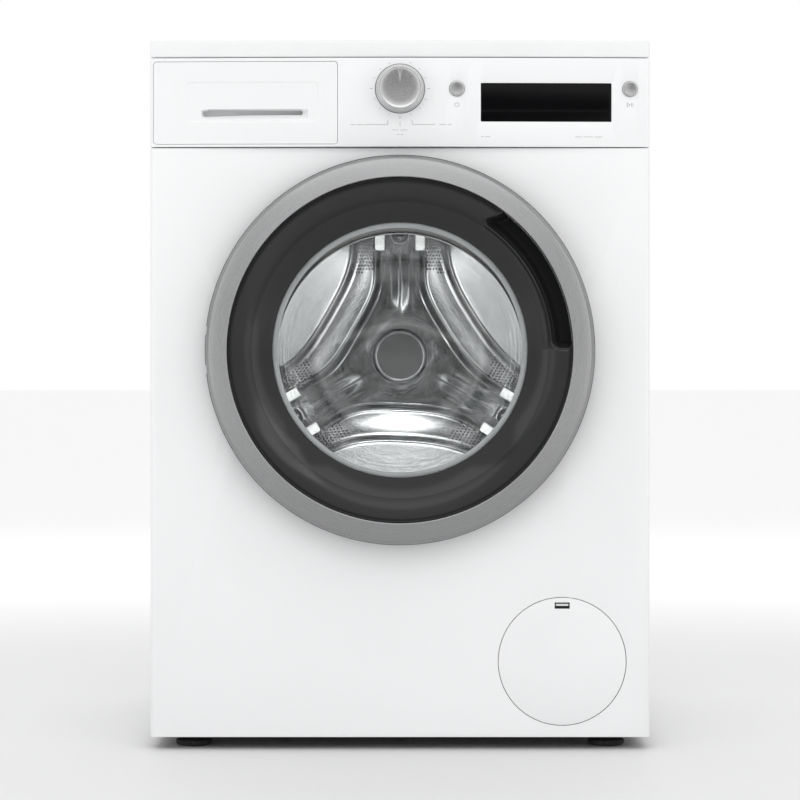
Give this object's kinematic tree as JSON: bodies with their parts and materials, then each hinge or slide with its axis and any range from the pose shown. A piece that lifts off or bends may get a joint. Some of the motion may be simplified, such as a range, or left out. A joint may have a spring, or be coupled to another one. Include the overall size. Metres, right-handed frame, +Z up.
{
  "type": "front load washing machine",
  "caption": "Free-standing front load washing machine with a round glass door, detergent drawer, programme knob, display and pump flap.",
  "frame": {"origin": "middle of the footprint, on the floor under the feet", "axes": "+Z up; the door faces -Y; +X is to the right of someone facing the door"},
  "size_m": [0.598, 0.606, 0.848],
  "materials": {
    "enamel": "smooth white enamel",
    "fascia_plastic": "white moulded plastic, satin gloss",
    "worktop": "white laminate over chipboard",
    "galvanised": "galvanised sheet",
    "silver_trim": "satin silver lacquer on plastic",
    "bezel_plastic": "dark grey moulded plastic, polished",
    "porthole_glass": "clear pressed glass",
    "display_glass": "black polished window",
    "stainless": "brushed stainless sheet",
    "light_plastic": "light moulded plastic",
    "tub_plastic": "filled polypropylene, matt",
    "grey_rubber": "moulded grey rubber",
    "black_rubber": "moulded black rubber",
    "concrete": "cast concrete, rough",
    "cast_alloy": "die-cast alloy, matt",
    "machine_steel": "machined steel",
    "motor_black": "black painted motor housing",
    "dark_plastic": "dark moulded plastic",
    "board_green": "circuit board",
    "tray_plastic": "pale blue-grey moulded plastic",
    "filter_blue": "blue moulded plastic"
  },
  "bodies": {
    "cabinet": {"side_panel_left": "enamel", "side_panel_right": "enamel", "rear_panel": "galvanised", "rear_access_cover": "galvanised", "front_panel": "enamel", "base_tray": "dark_plastic", "top_cover": "worktop", "control_fascia": "fascia_plastic", "display_window": "display_glass", "control_board": "board_green", "dispenser_housing": "light_plastic", "inlet_valve": "light_plastic", "inlet_hose": "grey_rubber", "dispenser_hose": "grey_rubber", "door_gasket": "grey_rubber", "door_lock": "light_plastic", "hinge_plate": "galvanised", "drain_pump": "light_plastic", "sump_hose": "black_rubber", "drain_hose": "grey_rubber", "pressure_switch": "light_plastic", "cable_gland": "dark_plastic", "transit_caps": "light_plastic", "panel_screws": "machine_steel", "suspension_springs": "machine_steel"},
    "tub": {"tub_rear": "tub_plastic", "tub_front": "tub_plastic", "front_counterweight": "concrete", "top_counterweight": "concrete", "drum_bearings": "machine_steel", "heating_element": "machine_steel", "motor_housing": "motor_black", "drive_belt": "black_rubber"},
    "drum": {"drum_shell": "stainless", "drum_back": "stainless", "drum_paddles": "light_plastic", "drum_spider": "cast_alloy", "drum_pulley": "cast_alloy"},
    "motor_rotor": {"motor_pulley": "machine_steel"},
    "damper_tube_left": {"damper_tube_left": "dark_plastic"},
    "damper_rod_left": {"damper_rod_left": "machine_steel"},
    "damper_tube_right": {"damper_tube_right": "dark_plastic"},
    "damper_rod_right": {"damper_rod_right": "machine_steel"},
    "door": {"door_ring": "silver_trim", "door_bezel": "bezel_plastic", "door_glass": "porthole_glass", "door_inner_frame": "light_plastic", "door_hinge_arm": "galvanised"},
    "latch_hook": {"door_latch_hook": "machine_steel"},
    "drawer": {"drawer_tray": "tray_plastic", "drawer_front": "fascia_plastic"},
    "knob": {"program_knob": "silver_trim"},
    "power_button": {"power_button": "silver_trim"},
    "start_button": {"start_button": "silver_trim"},
    "flap": {"service_flap": "fascia_plastic"},
    "filter": {"pump_filter": "filter_blue"},
    "foot_front_left": {"foot_front_left": "black_rubber"},
    "foot_front_right": {"foot_front_right": "black_rubber"},
    "foot_rear_left": {"foot_rear_left": "black_rubber"},
    "foot_rear_right": {"foot_rear_right": "black_rubber"}
  },
  "joints": [
    {"name": "tub_bounce", "type": "slide", "parent": "cabinet", "child": "tub", "axis": [0, 0, 1], "range_m": [-0.018, 0.012], "stiffness_N_per_m": 16000, "springref_m": 0.03274, "deforming": ["suspension_springs", "door_gasket", "dispenser_hose", "sump_hose"]},
    {"name": "drum_spin", "type": "hinge", "parent": "tub", "child": "drum", "pos_m": [0, 0, 0.47], "axis": [0, 1, 0], "continuous": true},
    {"name": "motor_spin", "type": "hinge", "parent": "tub", "child": "motor_rotor", "pos_m": [0, 0.24, 0.138], "axis": [0, 1, 0], "continuous": true},
    {"name": "damper_tube_left_pivot", "type": "hinge", "parent": "cabinet", "child": "damper_tube_left", "pos_m": [-0.225, 0.02, 0.06], "axis": [0, 1, 0], "range_deg": [-3, 3]},
    {"name": "damper_rod_left_pivot", "type": "hinge", "parent": "tub", "child": "damper_rod_left", "pos_m": [-0.15, 0.02, 0.24], "axis": [0, 1, 0], "range_deg": [-3, 3]},
    {"name": "damper_tube_right_pivot", "type": "hinge", "parent": "cabinet", "child": "damper_tube_right", "pos_m": [0.225, 0.02, 0.06], "axis": [0, 1, 0], "range_deg": [-3, 3]},
    {"name": "damper_rod_right_pivot", "type": "hinge", "parent": "tub", "child": "damper_rod_right", "pos_m": [0.15, 0.02, 0.24], "axis": [0, 1, 0], "range_deg": [-3, 3]},
    {"name": "door_hinge", "type": "hinge", "parent": "cabinet", "child": "door", "pos_m": [-0.219, -0.287, 0.478], "axis": [0, 0, -1], "range_deg": [0, 160]},
    {"name": "latch_hook_turn", "type": "hinge", "parent": "door", "child": "latch_hook", "pos_m": [0.19, -0.271, 0.478], "axis": [0, 0, -1], "range_deg": [0, 12], "stiffness_Nm_per_rad": 0.5},
    {"name": "drawer_slide", "type": "slide", "parent": "cabinet", "child": "drawer", "axis": [0, -1, 0], "range_m": [0, 0.25]},
    {"name": "knob_turn", "type": "hinge", "parent": "cabinet", "child": "knob", "pos_m": [0, -0.28, 0.79], "axis": [0, 1, 0], "continuous": true},
    {"name": "power_press", "type": "slide", "parent": "cabinet", "child": "power_button", "axis": [0, 1, 0], "range_m": [0, 0.0015], "stiffness_N_per_m": 800},
    {"name": "start_press", "type": "slide", "parent": "cabinet", "child": "start_button", "axis": [0, 1, 0], "range_m": [0, 0.0015], "stiffness_N_per_m": 800},
    {"name": "flap_hinge", "type": "hinge", "parent": "cabinet", "child": "flap", "pos_m": [0.194, -0.265, 0.0435], "axis": [1, 0, 0], "range_deg": [0, 85]},
    {"name": "filter_turn", "type": "hinge", "parent": "cabinet", "child": "filter", "pos_m": [0.194, -0.24, 0.1055], "axis": [0, -1, 0], "range_deg": [0, 150]},
    {"name": "foot_front_left_turn", "type": "hinge", "parent": "cabinet", "child": "foot_front_left", "pos_m": [-0.25, -0.215, 0.02], "axis": [0, 0, 1], "continuous": true},
    {"name": "foot_front_right_turn", "type": "hinge", "parent": "cabinet", "child": "foot_front_right", "pos_m": [0.25, -0.215, 0.02], "axis": [0, 0, 1], "continuous": true},
    {"name": "foot_rear_left_turn", "type": "hinge", "parent": "cabinet", "child": "foot_rear_left", "pos_m": [-0.25, 0.235, 0.02], "axis": [0, 0, 1], "continuous": true},
    {"name": "foot_rear_right_turn", "type": "hinge", "parent": "cabinet", "child": "foot_rear_right", "pos_m": [0.25, 0.235, 0.02], "axis": [0, 0, 1], "continuous": true}
  ],
  "couplings": [
    {"joint": "motor_spin", "follows": "drum_spin", "ratio": 12.727},
    {"joint": "damper_tube_left_pivot", "follows": "tub_bounce", "rad_per_m": -2},
    {"joint": "damper_rod_left_pivot", "follows": "tub_bounce", "rad_per_m": -2},
    {"joint": "damper_tube_right_pivot", "follows": "tub_bounce", "rad_per_m": 2},
    {"joint": "damper_rod_right_pivot", "follows": "tub_bounce", "rad_per_m": 2}
  ]
}
